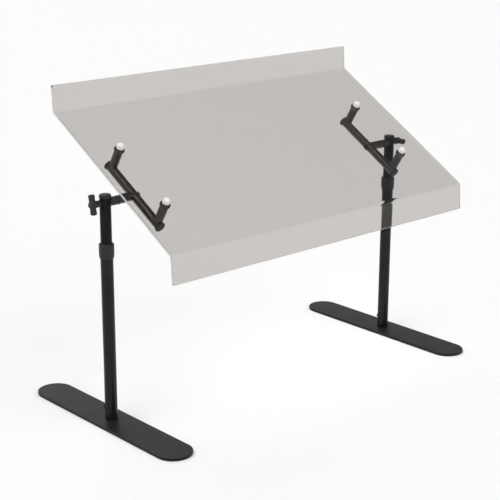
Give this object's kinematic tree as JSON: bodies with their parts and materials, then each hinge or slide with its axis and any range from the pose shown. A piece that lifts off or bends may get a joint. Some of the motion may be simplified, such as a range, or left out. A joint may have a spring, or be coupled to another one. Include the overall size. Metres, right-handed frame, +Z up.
{
  "type": "music stand",
  "caption": "Table-top music stand: wide clear acrylic board with bent lips, on two telescoping black posts with flat feet and tilting yokes clamped by wing knobs.",
  "frame": {"origin": "on the table, midway between the two feet: the centre of the box's underside", "axes": "+X across the board from the left post to the right post, +Y to the rear where the raised lip is, +Z up"},
  "size_m": [0.704, 0.374, 0.5275],
  "materials": {
    "clear_acrylic": "clear, lightly smoke-grey cast acrylic with polished edges",
    "foot_black": "satin black powder coat on flat steel",
    "post_black": "satin black paint on steel tube",
    "yoke_black": "satin black paint on steel tube and bar",
    "black_oxide": "black oxide",
    "bare_steel": "zinc plated",
    "clutch_plastic": "black acetal",
    "collar_plastic": "dark grey fine-grained moulded plastic",
    "cap_plastic": "black moulded plastic",
    "knob_plastic": "black moulded plastic with a light sheen",
    "black_rubber": "black rubber",
    "white_nylon": "natural white nylon"
  },
  "bodies": {
    "stands": {"left_foot": "foot_black", "left_foot_screw": "black_oxide", "left_foot_spigot": "bare_steel", "left_post_screw": "black_oxide", "left_lower_tube": "post_black", "left_clutch_sleeve": "clutch_plastic", "right_foot": "foot_black", "right_foot_screw": "black_oxide", "right_foot_spigot": "bare_steel", "right_post_screw": "black_oxide", "right_lower_tube": "post_black", "right_clutch_sleeve": "clutch_plastic"},
    "left_upper_post": {"left_upper_tube": "post_black", "left_tube_end_plug": "clutch_plastic", "left_top_plug": "cap_plastic", "left_knob_washer": "black_oxide", "left_pivot_saddle": "cap_plastic", "left_friction_washer": "black_rubber"},
    "right_upper_post": {"right_upper_tube": "post_black", "right_tube_end_plug": "clutch_plastic", "right_top_plug": "cap_plastic", "right_knob_washer": "black_oxide", "right_pivot_saddle": "cap_plastic", "right_friction_washer": "black_rubber"},
    "board": {"board": "clear_acrylic", "left_pivot_stub": "yoke_black", "left_yoke_bolt": "black_oxide", "left_yoke_bar": "yoke_black", "left_bar_caps": "cap_plastic", "left_front_arm": "yoke_black", "left_rear_arm": "yoke_black", "left_board_washers": "black_rubber", "left_board_screws": "white_nylon", "right_pivot_stub": "yoke_black", "right_yoke_bolt": "black_oxide", "right_yoke_bar": "yoke_black", "right_bar_caps": "cap_plastic", "right_front_arm": "yoke_black", "right_rear_arm": "yoke_black", "right_board_washers": "black_rubber", "right_board_screws": "white_nylon"},
    "left_knob": {"left_wing_knob": "knob_plastic", "left_clamp_screw": "bare_steel"},
    "left_collar": {"left_clutch_collar": "collar_plastic"},
    "right_knob": {"right_wing_knob": "knob_plastic", "right_clamp_screw": "bare_steel"},
    "right_collar": {"right_clutch_collar": "collar_plastic"}
  },
  "joints": [
    {"name": "left_height", "type": "slide", "parent": "stands", "child": "left_upper_post", "axis": [0, 0, 1], "range_m": [-0.055, 0.12]},
    {"name": "right_height", "type": "slide", "parent": "stands", "child": "right_upper_post", "axis": [0, 0, 1], "range_m": [-0.055, 0.12]},
    {"name": "board_tilt", "type": "hinge", "parent": "left_upper_post", "child": "board", "pos_m": [-0.322, 0, 0.363], "axis": [1, 0, 0], "range_deg": [-120, 50]},
    {"name": "left_knob_turn", "type": "hinge", "parent": "left_upper_post", "child": "left_knob", "pos_m": [-0.342, 0, 0.363], "axis": [-1, 0, 0], "range_deg": [0, 270]},
    {"name": "right_knob_turn", "type": "hinge", "parent": "right_upper_post", "child": "right_knob", "pos_m": [0.342, 0, 0.363], "axis": [1, 0, 0], "range_deg": [0, 270]},
    {"name": "left_collar_turn", "type": "hinge", "parent": "stands", "child": "left_collar", "pos_m": [-0.322, 0, 0.288], "axis": [0, 0, 1], "range_deg": [0, 90]},
    {"name": "right_collar_turn", "type": "hinge", "parent": "stands", "child": "right_collar", "pos_m": [0.322, 0, 0.288], "axis": [0, 0, 1], "range_deg": [0, 90]}
  ],
  "couplings": [
    {"joint": "right_height", "follows": "left_height", "ratio": 1}
  ]
}
